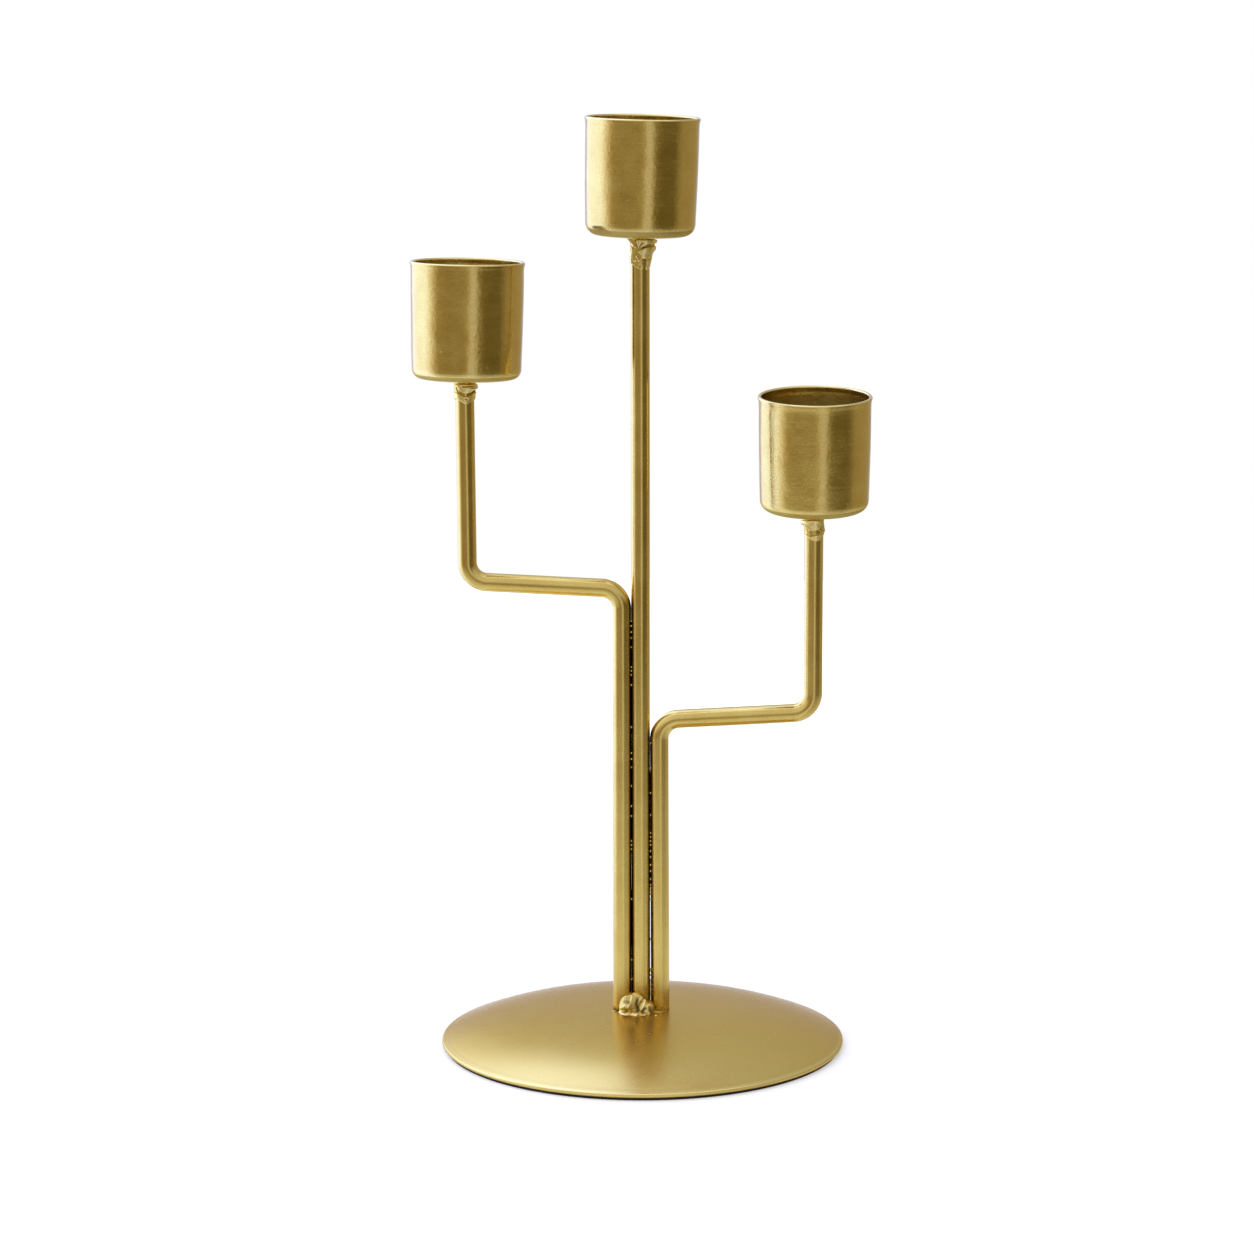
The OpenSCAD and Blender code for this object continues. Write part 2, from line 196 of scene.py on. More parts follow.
LEFT_FACETS = [
    ([(456.5, 384), (475.5, 384), (475.5, 388), (473, 390), (469.5, 393), (466, 394.2),
      (462.5, 393), (459.8, 390.5)], 0.62, 0.34),
    ([(453, 393), (458, 392.5), (462, 396), (466, 397), (470, 395), (475, 391), (475, 400),
      (470, 402.5), (467, 404.5), (464, 404), (461, 402), (457, 399), (453, 398)], 0.30, 0.16),
]
LEFT_MARKS = [
    ([(458, 388), (459, 391), (461.5, 393.8), (465, 395.4), (468, 395), (471, 392.3), (474.5, 389)],
     -0.5, 0.95),
    ([(463, 386.4), (466, 386.8), (470.5, 386)], -0.22, 0.8),
    ([(464.5, 385), (468, 385)], 0.2, 0.7),
    ([(474.3, 385), (474.8, 389)], -0.3, 0.9),
    ([(465.6, 399.2), (467, 399.2)], -0.24, 0.8),
]
LEFT_SKIRT = [(452, 399), (458, 399.5), (461, 402), (464, 404.3), (467, 404.7), (470, 402.7),
              (476, 399)]
RIGHT_FACETS = [
    ([(802, 520), (819, 520), (820.5, 524), (819, 528.5), (815.5, 531), (811, 531), (808, 528),
      (802, 523)], 0.64, 0.34),
    ([(806, 534), (811, 536.3), (814, 535.5), (820, 534.3), (820.5, 537), (819, 540.7),
      (815, 541.7), (811, 540), (807.5, 536.5)], 0.40, 0.22),
]
RIGHT_MARKS = [
    ([(804, 522), (808, 526.5), (811, 530.7)], 0.16, 1.0),
    ([(805.5, 524.2), (805.6, 525.8)], -0.55, 0.8),
    ([(807.8, 529), (809, 531.5)], -0.35, 0.7), ([(811, 532), (812, 535)], -0.26, 1.0),
    ([(816.5, 532.3), (819, 532)], -0.36, 1.2),
]
RIGHT_SKIRT = [(800, 534), (806, 534.5), (811, 540.5), (815, 542.2), (819, 541), (821, 537),
               (826, 534)]
# The sleeves of weld under the cups. Left and right say how far one stands out at each side, as
# (depth under the cup, width).
COLLARS = {
    "centre_cup_weld": {
        "cup": "centre_cup", "rod": "centre_rod", "drop": 8.3, "seed": 5,
        "left": [(0, 1.1), (0.9, 0.65), (2, 0.08), (7, 0.0)],
        "right": [(0, 1.15), (2.0, 1.15), (3.5, 0.9), (7.1, 0.05), (8.3, 0.0)],
        "facets": CENTRE_FACETS, "marks": CENTRE_MARKS, "skirt": CENTRE_SKIRT,
    },
    "left_cup_weld": {
        "cup": "left_cup", "rod": "left_rod", "drop": 6.7, "seed": 8,
        "left": [(0, 0.2), (3, 0.15), (6, 0.0)],
        "right": [(0, 0.3), (1.4, 0.4), (2.3, 0.62), (3.0, 0.35), (3.8, 0.05), (6, 0.0)],
        "facets": LEFT_FACETS, "marks": LEFT_MARKS, "skirt": LEFT_SKIRT,
    },
    "right_cup_weld": {
        "cup": "right_cup", "rod": "right_rod", "drop": 7.9, "seed": 11,
        "left": [(0, 0.35), (3.0, 0.2), (5, 0.0)],
        "right": [(0, 0.05), (3.5, 0.05), (4.9, 0.3), (6.0, 0.05), (7, 0.0)],
        "facets": RIGHT_FACETS, "marks": RIGHT_MARKS, "skirt": RIGHT_SKIRT,
    },
}
# A sleeve is thin where nothing pushes it out, with folds as (width, height). Below its skirt it
# sinks into the rod, and behind it bulges down to a share of its length.
COLLAR_T, COLLAR_FOLDS, COLLAR_SINK = 0.10, (1.8, 0.05), 0.12
COLLAR_BULGE, BULGE_DROP, BULGE_FADE = 0.25, 0.7, (0, 1.5)
# It reaches into its cup, and stands out to each side by a power of the way round
COLLAR_INTO_CUP, SIDE_POWER = 0.15, 1.5
# How many pixels above the skirt the push begins and is full, and the sinking eases and ends
SKIRT_EDGE, SINK_EDGE = (0, 1.2), (-1.0, 0.6)
# How much painted shade the sunk marks give, and how dull the places with painted highlight turn
COLLAR_SHADE, COLLAR_DULL = 0.85, 0.3
# How a facet's edge fades in pixels, how dark the painted shade in a crease gets for each
# millimetre of its depth, and how crumpled foil folds: the least and most of a fold's width and
# height, and how it wanders, as (waves to a fold's width, how far)
FACET_EDGE, CREASE_DARK = (-0.6, 0.8), 2.2
FOLDS, FOLD_WIDTHS, FOLD_HEIGHTS, FOLD_WANDER = 6, (0.6, 1.7), (0.4, 1.0), (0.6, 0.9)

# Rows of the photograph in which a grain shows in each groove, top down
LEFT_ROWS = [621, 626, 632, 638, 647, 667, 671, 675, 685, 727, 753, 759, 767, 786, 806, 816, 841,
             845, 849, 899, 960, 979]
RIGHT_ROWS = [743, 768, 793, 815, 833, 837, 841, 845, 851, 857, 865, 871, 879, 885, 888, 891, 894,
              899, 939, 969, 971, 975, 980, 985, 990, 994]
GRAINS = {"left_groove_grains": (-2.68, LEFT_ROWS), "right_groove_grains": (2.0, RIGHT_ROWS)}
GRAIN_Y, GRAIN_R, GRAIN_TALL = -0.95, 0.24, 1.2
# How much the grains differ in size, and how lumpy and worn they are
GRAIN_SIZES, GRAIN_WAVE, GRAIN_WEAR = (0.85, 1.1), (1.7, 0.18), 0.4
# Spatter round the foot, as (x, y, radius, how tall). Its middle lies above the crown by a share
# of the radius.
SPATTER_LIFT = 0.1
SPATTER = [(3.35, -7.2, 0.36, 0.9), (-7.3, -2.9, 0.30, 0.5), (-6.9, -2.7, 0.22, 0.6),
           (-2.1, -14.0, 0.16, 0.5), (1.6, -21.0, 0.16, 0.5)]

# Studio: the room is warm and dim, the window big, cool and to the left and behind. Directions
# are the x, y and z of a unit arrow, and a pair says where a thing begins and where it is full.
DIM_TINT = (1.0, 0.88, 0.50, 1.0)
ROOM_TINT = (1.0, 0.89, 0.70, 1.0)
DOOR_TINT = (1.0, 1.06, 1.5, 1.0)
# Levels of the horizon at which one tint gives way to the next
DIM_TO_ROOM, ROOM_TO_DOOR = (0.17, 0.37), (0.42, 0.75)
# Level round the horizon as (degrees from the front, level), right positive
HORIZON = [(-180, 0.68), (-165, 0.65), (-90, 0.45), (-66, 0.37), (-50, 0.40), (-39, 0.36),
           (-26, 0.38), (-8, 0.37), (2, 0.42), (10, 0.75), (19, 0.75), (28, 0.24), (40, 0.17),
           (72, 0.17), (90, 0.41), (150, 0.48), (165, 0.60), (180, 0.68)]
# Sky: its level in front and behind, how it grows to the left, and where it takes over
SKY_TINT = (1.0, 1.07, 1.35, 1.0)
SKY_LEVELS, SKY_Y, SKY_LEAN = (0.85, 0.66), (-0.8, 0.8), -0.2
SKY_Z = (-0.06, 0.4)
# Lamp overhead, between its edges behind and in front
LAMP_LEVEL = 1.35
LAMP_BEHIND, LAMP_FRONT, LAMP_Z = (0.35, 0.15), (-0.4, -0.2), (0.75, 0.9)
# Window: its right edge leans to the right with height, and draws back to the left near the floor
WINDOW_TINT = (0.80, 1.02, 2.1, 1.0)
WINDOW_LEVEL = 1.9
WINDOW_Z, WINDOW_SLOPE, WINDOW_SHIFT = (0.55, 0.8), 1.2, -0.66
WINDOW_LOW_Z, WINDOW_LOW_SHIFT = (-0.1, 0.15), -0.2
WINDOW_EDGE, WINDOW_FRONT = (0.18, 0.41), (-0.55, 0.12)

# Floor
FLOOR_R, FLOOR_SIDES = 700.0, 96
FLOOR_WHITE = (0.90, 0.81, 0.62, 1.0)
FLOOR_COOL = (1.0, 0.95, 0.72, 1.0)
FLOOR_GLOW = 1.5
# How much of the floor polished metal sees, as (distance from the middle, share), and how much of
# that is left to the right
FLOOR_SEEN = [(0, 1.0), (70, 1.0), (100, 0.86), (160, 0.62), (220, 0.52), (260, 0.42), (333, 0.3),
              (407, 0.2), (455, 0.07), (520, 0.0)]
FLOOR_TURN, FLOOR_RIGHT = (-0.15, 0.6), 0.76
# How far from the base's edge the shadow begins to fade and is gone, and its level
SHADOW_FADE, SHADOW_LEVEL = (60.0, 150.0), 0.25

# Metal colours, linear
GOLD_PALE = (0.70, 0.50, 0.12, 1.0)
GOLD_DEEP = (0.64, 0.43, 0.09, 1.0)
# The paler gold of wear and of painted highlight, also mixed in as a piece's paleness
GOLD_WORN_AND_LIT = (0.90, 0.73, 0.28, 1.0)
# The black of painted shade, and of dark specks
SHADE_AND_SPECK_DARK = (0.020, 0.014, 0.004, 1.0)
# Share of the shine at a grazing angle, so that the gold doesn't turn white there
EDGE_GOLD = (0.95, 0.85, 0.55, 1.0)
EDGE_SOFT = (0.84, 0.73, 0.42, 1.0)
EDGE_DEEP = (0.70, 0.50, 0.15, 1.0)
# Noise lies mostly within this span, and specks are its peaks
NOISE_SPAN = (0.3, 0.7)
SPECK_SCALE, SPECK_SPAN = 3.0, (0.4, 0.65)
STAIN_ROUGH = 0.03
PIT_SPAN, PIT_DEPTH = (0.02, 0.09), 0.03
# What a piece's marks do: wear and painted highlight pale and polish, painted shade and dull
# roughen and take off the lacquer
WEAR_AND_HIGHLIGHT_TONE, WEAR_POLISH = 0.85, 0.03
SHADE_ROUGH, DULL_ROUGH, BARE_FROM = 0.4, 0.3, 0.6

# Foam: its colours, linear, and its cells
FOAM_DARK = (0.006, 0.006, 0.006, 1)
FOAM_LIGHT = (0.02, 0.02, 0.02, 1)
FOAM_SCALE, FOAM_DEPTH = 3.0, 0.06
FOAM_CELL, FOAM_ROUGH = (0.0, 0.6), (0.7, 0.95)

# Steps between the places in the noise that the seeds pick
NOISE_SHIFT = (17.3, 5.1, 9.7)
ROD_SHIFT = 7.7


def node(tree, kind, inputs=None, **settings):
    """Adds a shader node, sets its options, and links or fills its inputs."""
    made = tree.nodes.new("ShaderNode" + kind)
    for option, value in settings.items():
        setattr(made, option, value)
    for key, value in (inputs or {}).items():
        if isinstance(value, bpy.types.NodeSocket):
            tree.links.new(value, made.inputs[key])
        else:
            made.inputs[key].default_value = value
    return made


def maths(tree, operation, *values):
    return node(tree, "Math", dict(enumerate(values)), operation=operation).outputs[0]


def step(tree, value, low, high, start=0.0, end=1.0):
    """A smooth step of a value between two limits."""
    inputs = {"Value": value, "From Min": low, "From Max": high, "To Min": start, "To Max": end}
    return node(tree, "MapRange", inputs, interpolation_type="SMOOTHSTEP").outputs["Result"]


def ramp(tree, value, stops):
    """A grey ramp through (place, level) stops."""
    made = node(tree, "ValToRGB", {"Fac": value})
    line = made.color_ramp
    while len(line.elements) < len(stops):
        line.elements.new(0.5)
    for element, (place, level) in zip(line.elements, stops):
        element.position = place
        element.color = (level, level, level, 1.0)
    return made.outputs["Color"]


def blend(tree, share, first, second):
    """A colour between two others."""
    inputs = {"Factor": share, 6: first, 7: second}
    return node(tree, "Mix", inputs, data_type="RGBA").outputs[2]


def grain(tree, place, scale, detail=2.0, roughness=0.5):
    inputs = {"Vector": place, "Scale": scale, "Detail": detail, "Roughness": roughness}
    return node(tree, "TexNoise", inputs).outputs["Fac"]


def stretch(tree, place, scales):
    return node(tree, "Mapping", {"Vector": place, "Scale": scales}).outputs["Vector"]


def bump(tree, height, distance, under=None):
    """Raises the surface by a height of 0 to 1 times a distance in millimetres."""
    inputs = {"Height": height, "Distance": distance * MM, "Strength": 1.0}
    if under is not None:
        inputs["Normal"] = under
    return node(tree, "Bump", inputs).outputs["Normal"]


def mix(tree, share, first, second):
    """A number between two others."""
    return node(tree, "Mix", {"Factor": share, 2: first, 3: second}).outputs[0]


def in_mm(tree):
    """Places on the object in millimetres."""
    place = node(tree, "TexCoord").outputs["Object"]
    return stretch(tree, place, (1 / MM, 1 / MM, 1 / MM))


def seen_plainly(tree, path):
    """Whether a ray comes from the camera, straight or through something clear."""
    return maths(tree, "MAXIMUM", path["Is Camera Ray"], path["Is Transmission Ray"])


def new_tree(name):
    material = bpy.data.materials.new(name)
    material.use_nodes = True
    material.node_tree.nodes.clear()
    return material, material.node_tree


def camera_turn():
    tilt = Euler((math.radians(90 - CAMERA_PITCH), 0, 0)).to_matrix()
    roll = Euler((0, 0, math.radians(CAMERA_ROLL))).to_matrix()
    return tilt @ roll


def aim_camera():
    data = bpy.data.cameras.new("camera")
    data.sensor_width = SENSOR_W
    data.lens = SENSOR_W * FOCAL_PX / PHOTO_W
    data.clip_start, data.clip_end = CAMERA_CLIP
    camera = bpy.data.objects.new("camera", data)
    bpy.context.scene.collection.objects.link(camera)
    camera.location = Vector(CAMERA_AT) * MM
    camera.rotation_euler = camera_turn().to_euler()
    bpy.context.scene.camera = camera


def sky_level(tree, x, y, z):
    """The sky, with the lamp in it."""
    front, back = SKY_LEVELS
    sky = maths(tree, "MULTIPLY_ADD", x, SKY_LEAN, step(tree, y, *SKY_Y, front, back))
    lamp = maths(tree, "MULTIPLY", step(tree, y, *LAMP_BEHIND), step(tree, y, *LAMP_FRONT))
    lamp = maths(tree, "MULTIPLY", lamp, step(tree, z, *LAMP_Z))
    return mix(tree, lamp, sky, LAMP_LEVEL)


def window_share(tree, x, y, z):
    """Where the window is, with soft edges."""
    low, high = WINDOW_Z
    held = maths(tree, "MINIMUM", maths(tree, "MAXIMUM", z, low), high)
    rise = maths(tree, "MULTIPLY_ADD", held, WINDOW_SLOPE, WINDOW_SHIFT)
    rise = maths(tree, "ADD", rise, step(tree, z, *WINDOW_LOW_Z, WINDOW_LOW_SHIFT, 0.0))
    edge = step(tree, maths(tree, "SUBTRACT", rise, x), *WINDOW_EDGE)
    return maths(tree, "MULTIPLY", edge, step(tree, y, *WINDOW_FRONT))


def studio_tint(tree, ring, high, window):
    tint = blend(tree, step(tree, ring, *DIM_TO_ROOM), DIM_TINT, ROOM_TINT)
    tint = blend(tree, step(tree, ring, *ROOM_TO_DOOR), tint, DOOR_TINT)
    return blend(tree, window, blend(tree, high, tint, SKY_TINT), WINDOW_TINT)


def light_studio():
    """A world that is white to the camera and a plain studio to everything else."""
    world = bpy.data.worlds.new("studio")
    bpy.context.scene.world = world
    world.use_nodes = True
    tree = world.node_tree
    tree.nodes.clear()
    heading = node(tree, "TexCoord").outputs["Generated"]
    x, y, z = node(tree, "SeparateXYZ", {0: heading}).outputs
    turn = maths(tree, "ARCTAN2", x, maths(tree, "MULTIPLY", y, -1.0))
    place = maths(tree, "MULTIPLY_ADD", turn, 0.5 / math.pi, 0.5)
    ring = ramp(tree, place, [((angle + 180) / 360, level) for angle, level in HORIZON])
    high = step(tree, z, *SKY_Z)
    window = window_share(tree, x, y, z)
    room = mix(tree, high, ring, sky_level(tree, x, y, z))
    level = mix(tree, window, room, WINDOW_LEVEL)
    tint = studio_tint(tree, ring, high, window)
    studio = node(tree, "Background", {"Color": tint, "Strength": level}).outputs[0]
    white = node(tree, "Background", {"Color": (1, 1, 1, 1), "Strength": 1.0}).outputs[0]
    seen = seen_plainly(tree, node(tree, "LightPath").outputs)
    world_mix = node(tree, "MixShader", {0: seen, 1: studio, 2: white}).outputs[0]
    node(tree, "OutputWorld", {"Surface": world_mix})


def floor_colour(tree, reach, path):
    """White to the camera but for the shadow, and a pale cast to the metal."""
    start, end = SHADOW_FADE
    shadow = step(tree, reach, (BASE_R + start) * MM, (BASE_R + end) * MM, SHADOW_LEVEL, 1.0)
    cast = blend(tree, path["Is Glossy Ray"], FLOOR_WHITE, FLOOR_COOL)
    plain = node(tree, "BsdfDiffuse", {"Color": cast}).outputs[0]
    glow = node(tree, "Emission", {"Color": (1, 1, 1, 1), "Strength": FLOOR_GLOW}).outputs[0]
    share = maths(tree, "MULTIPLY", seen_plainly(tree, path), shadow)
    return node(tree, "MixShader", {0: share, 1: plain, 2: glow}).outputs[0]


def floor_gone(tree, place, reach, path):
    """How clear the floor is to polished metal, which sees less of it far out and to the right."""
    near = ramp(tree, maths(tree, "DIVIDE", reach, FLOOR_R * MM),
                [(r / FLOOR_R, share) for r, share in FLOOR_SEEN])
    heading = maths(tree, "DIVIDE", node(tree, "SeparateXYZ", {0: place}).outputs["X"], reach)
    near = maths(tree, "MULTIPLY", near, step(tree, heading, *FLOOR_TURN, 1.0, FLOOR_RIGHT))
    return maths(tree, "MULTIPLY", path["Is Glossy Ray"], maths(tree, "SUBTRACT", 1.0, near))


def floor_material():
    material, tree = new_tree("floor_white")
    place = node(tree, "TexCoord").outputs["Object"]
    reach = node(tree, "VectorMath", {0: place}, operation="LENGTH").outputs["Value"]
    path = node(tree, "LightPath").outputs
    lit = floor_colour(tree, reach, path)
    gone = floor_gone(tree, place, reach, path)
    clear = node(tree, "BsdfTransparent").outputs[0]
    surface = node(tree, "MixShader", {0: gone, 1: lit, 2: clear}).outputs[0]
    node(tree, "OutputMaterial", {"Surface": surface})
    return material


def lay_floor():
    mesh = bpy.data.meshes.new("floor")
    bm = bmesh.new()
    bmesh.ops.create_circle(bm, cap_ends=True, segments=FLOOR_SIDES, radius=FLOOR_R * MM)
    bm.to_mesh(mesh)
    bm.free()
    mesh.materials.append(floor_material())
    floor = bpy.data.objects.new("floor", mesh)
    bpy.context.scene.collection.objects.link(floor)


def gold_tone(tree, mm, cloud, wear, shade, pale, stain, grit):
    """Two golds in patches, specks in between, paler with wear and painted highlight, black with
    painted shade.
    """
    patch = step(tree, cloud, *NOISE_SPAN, 0.5 - stain / 2, 0.5 + stain / 2)
    tone = blend(tree, patch, GOLD_DEEP, GOLD_PALE)
    speck = grain(tree, mm, SPECK_SCALE, detail=3.0, roughness=0.6)
    tone = blend(tree, step(tree, speck, *SPECK_SPAN, 0.0, grit), tone, SHADE_AND_SPECK_DARK)
    tone = blend(tree, pale, tone, GOLD_WORN_AND_LIT)
    tone = blend(tree, maths(tree, "MULTIPLY", wear, WEAR_AND_HIGHLIGHT_TONE), tone, GOLD_WORN_AND_LIT)
    return blend(tree, shade, tone, SHADE_AND_SPECK_DARK)


def gold_roughness(tree, rough, lines, streak_rough, cloud, stain, wear, shade, dull):
    rough_lines = step(tree, lines, *NOISE_SPAN, -streak_rough, streak_rough)
    spread = STAIN_ROUGH * stain
    rough_cloud = step(tree, cloud, *NOISE_SPAN, rough - spread, rough + spread)
    total = maths(tree, "ADD", rough_cloud, rough_lines)
    for mark, change in ((wear, -WEAR_POLISH), (shade, SHADE_ROUGH), (dull, DULL_ROUGH)):
        total = maths(tree, "ADD", total, maths(tree, "MULTIPLY", mark, change))
    return total


def gold_relief(tree, mm, lines, streak_depth, peel, peel_depth, pits):
    """Ripples in the lacquer, streaks along the piece and a few pits."""
    normal = bump(tree, grain(tree, mm, peel), peel_depth)
    if streak_depth:
        normal = bump(tree, lines, streak_depth, normal)
    if pits:
        cells = node(tree, "TexVoronoi", {"Vector": mm, "Scale": pits}).outputs["Distance"]
        normal = bump(tree, step(tree, cells, *PIT_SPAN), PIT_DEPTH, normal)
    return normal


def gold(name, rough, peel, peel_depth, coat=0.0, coat_rough=0.10, coat_ior=1.5, streak=(1, 1, 1),
         streak_rough=0.05, streak_depth=0.0, pits=0.0, mottle=0.10, pale=0.0, stain=1.0, grit=0.0,
         edge=EDGE_GOLD):
    """Gold under a lacquer. Streaks follow the piece's track, and wear with painted highlight,
    painted shade and dull places its marks."""
    material, tree = new_tree(name)
    mm = in_mm(tree)
    track = node(tree, "Attribute", attribute_name="track").outputs["Vector"]
    wear, shade, dull = [node(tree, "Attribute", attribute_name=mark).outputs["Fac"]
                         for mark in ("wear", "shade", "dull")]
    lines = grain(tree, stretch(tree, track, streak), 1.0, detail=3.0, roughness=0.6)
    cloud = grain(tree, mm, mottle, detail=5.0, roughness=0.55)
    bare = maths(tree, "MAXIMUM", shade, dull)
    shader = node(tree, "BsdfPrincipled", {
        "Base Color": gold_tone(tree, mm, cloud, wear, shade, pale, stain, grit),
        "Metallic": 1.0,
        "Roughness": gold_roughness(tree, rough, lines, streak_rough, cloud, stain, wear, shade,
                                    dull),
        "Normal": gold_relief(tree, mm, lines, streak_depth, peel, peel_depth, pits),
        "Specular Tint": edge,
        "Coat Weight": step(tree, bare, 0.0, BARE_FROM, coat, 0.0),
        "Coat Roughness": coat_rough,
        "Coat IOR": coat_ior,
    }).outputs[0]
    node(tree, "OutputMaterial", {"Surface": shader})
    return material


def foam(name):
    material, tree = new_tree(name)
    mm = in_mm(tree)
    cells = node(tree, "TexVoronoi", {"Vector": mm, "Scale": FOAM_SCALE}).outputs["Distance"]
    shader = node(tree, "BsdfPrincipled", {
        "Base Color": blend(tree, grain(tree, mm, 0.5, detail=4.0), FOAM_DARK, FOAM_LIGHT),
        "Roughness": step(tree, cells, *FOAM_CELL, *FOAM_ROUGH),
        "Normal": bump(tree, cells, FOAM_DEPTH),
    }).outputs[0]
    node(tree, "OutputMaterial", {"Surface": shader})
    return material


def add_piece(name, points, faces, material, slot, stands_for=(), track=None, **marks):
    """A smooth mesh in millimetres, riding on the part, with its marks as point attributes."""
    mesh = bpy.data.meshes.new(name)
    mesh.from_pydata((np.asarray(points) * MM).tolist(), [], faces)
    mesh.shade_smooth()
    if track is not None:
        data = mesh.attributes.new("track", "FLOAT_VECTOR", "POINT").data
        data.foreach_set("vector", np.asarray(track, np.float32).ravel())
    for label, value in marks.items():
        data = mesh.attributes.new(label, "FLOAT", "POINT").data
        data.foreach_set("value", np.asarray(value, np.float32).ravel())
    mesh.materials.append(material)
    piece = bpy.data.objects.new(name, mesh)
    bpy.context.scene.collection.objects.link(piece)
    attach(piece, "root")
    if stands_for:
        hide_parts(*stands_for)


def smooth(value, low, high):
    """A smooth step from 0 at the low limit to 1 at the high one."""
    share = np.clip((np.asarray(value, float) - low) / (high - low), 0.0, 1.0)
    return share * share * (3 - 2 * share)


def arc(mid, r, start, end, steps):
    """Points of an arc as (r, z), both ends included."""
    angles = np.radians(np.linspace(start, end, steps + 1))
    return [(mid[0] + r * math.cos(a), mid[1] + r * math.sin(a)) for a in angles]


def ring_faces(rings, segments):
    """Quads between rings of points."""
    faces = []
    for i in range(rings - 1):
        low, high = i * segments, (i + 1) * segments
        for j in range(segments):
            k = (j + 1) % segments
            faces.append((low + j, low + k, high + k, high + j))
    return faces


def lathe(profile, segments):
    """Points and faces of a profile turned round the z axis; its ends lie on the axis."""
    inner = profile[1:-1]
    turns = np.linspace(0, 2 * math.pi, segments, endpoint=False)
    points = [(r * math.cos(t), r * math.sin(t), z) for r, z in inner for t in turns]
    faces = ring_faces(len(inner), segments)
    first, last = len(points), len(points) + 1
    points += [(0.0, 0.0, profile[0][1]), (0.0, 0.0, profile[-1][1])]
    end = (len(inner) - 1) * segments
    for j in range(segments):
        k = (j + 1) % segments
        faces.append((first, k, j))
        faces.append((last, end + j, end + k))
    return np.array(points), faces


def densify(profile, longest):
    """The same profile with no step longer than a length."""
    dense = [profile[0]]
    for a, b in zip(profile, profile[1:]):
        count = max(1, math.ceil(math.dist(a, b) / longest))
        dense += [(a[0] + (b[0] - a[0]) * i / count, a[1] + (b[1] - a[1]) * i / count)
                  for i in range(1, count + 1)]
    return dense


def wobble(points, scale, amount, seed):
    """A smooth random offset at each point, the same each run."""
    shift = Vector([seed * apart for apart in NOISE_SHIFT])
    return np.array([noise.noise(Vector(p) * scale + shift) for p in points]) * amount


def wall_r(z, corner_r):
    """Outer radius of a cup's wall at a height."""
    share = (LIP_MID[1] - z) / (LIP_MID[1] - corner_r)
    drawn = WALL_TOP_R - (WALL_TOP_R - FOOT_R) * share ** DRAW_POWER
    neck = FLARE * float(smooth(LIP_MID[1] - z, 0.0, FLARE_H))
    return drawn - neck * (1 - share)


def cup_profile(corner_r):
    """Outline of a cup, from the middle of its underside round the lip to that of its floor."""
    heights = np.linspace(corner_r, LIP_MID[1], CUP_ROWS)
    outer = [(wall_r(z, corner_r), z) for z in heights]
    inner = [(wall_r(z, corner_r) - CUP_WALL, z) for z in heights[::-1]]
    mid = (FOOT_R - corner_r, corner_r)
    under = [(0.0, 0.0)] + densify([(CUP_HUB, 0.0), (mid[0], 0.0)], CUP_FACET)
    floor = densify([(mid[0], CUP_WALL), (CUP_HUB, CUP_WALL)], CUP_FACET)[1:] + [(0.0, CUP_WALL)]
    return (under + arc(mid, corner_r, -90, 0, CORNER_STEPS)[1:-1] + outer[:-1]
            + arc(LIP_MID, LIP_R, 0, 180, LIP_STEPS) + inner[1:-1]
            + arc(mid, corner_r - CUP_WALL, 0, -90, INNER_STEPS) + floor)


def cup_push(points, seed):
    """How far each point moves out from the axis, as a factor: a little out of round, with soft
    dents, but nowhere past the lip."""
    r = np.hypot(points[:, 0], points[:, 1])
    lift = points[:, 2] / CUP_H
    turn = np.arctan2(points[:, 1], points[:, 0])
    push = wobble(points, *CUP_WAVE, seed) * lift + CUP_OVAL * lift * np.cos(2 * turn + seed)
    push += wobble(points, *CUP_DENT, seed + 3)
    factor = np.where(r > CUP_STILL_R, 1 + push / np.maximum(r, 1), 1.0)
    return np.minimum(factor, MOUTH_R / np.maximum(r, MOUTH_R - LIP_R))


def cup_marks(points, corner_r, wall_dull):
    """Worn lip and lower corner, and painted shade and dullness that deepen down the inside."""
    heights = points[:, 2]
    lip = smooth(heights, CUP_H - LIP_FADE[0], CUP_H - LIP_FADE[1])
    corner = 1 - smooth(np.abs(heights - corner_r / 2), CORNER_FADE, corner_r / 2 + CORNER_FADE)
    middle = [wall_r(max(z, corner_r), corner_r) - CUP_WALL / 2 for z in heights]
    inside = (np.hypot(points[:, 0], points[:, 1]) < middle) & (heights > CUP_WALL / 2)
    deep = inside * smooth(CUP_H - heights, *INSIDE_FADE)
    return {"wear": LIP_WEAR * lip + CORNER_WEAR * corner,
            "shade": INSIDE_SHADE * deep,
            "dull": np.maximum(INSIDE_DULL * deep, CORNER_DULL * corner + wall_dull)}


def make_cup(name, material, seed):
    """A pressed cup, leaning on its rod."""
    at, lean, corner_r, wall_dull = CUPS[name]
    track, faces = lathe(cup_profile(corner_r), CUP_SIDES)
    points = track.copy()
    points[:, :2] *= cup_push(track, seed)[:, None]
    turn = Euler([math.radians(angle) for angle in lean]).to_matrix().to_4x4()
    place = np.array(Matrix.Translation(at) @ turn)
    points = points @ place[:3, :3].T + place[:3, 3]
    add_piece(name + "_pressed", points, faces, material, "cup_gold", (name,), track,
              **cup_marks(track, corner_r, wall_dull))


def crown_z(x, y):
    """Height of the base's crown, which is flat in the middle and falls off towards the rim."""
    return BASE_H - CROWN_RISE * (np.hypot(x, y) / RIM_MID_R) ** CROWN_POWER


def groove_share(r):
    """How deep the pressed groove is at a radius, as a share of its depth."""
    return np.exp(-((r - GROOVE_R) / GROOVE_W) ** 2)


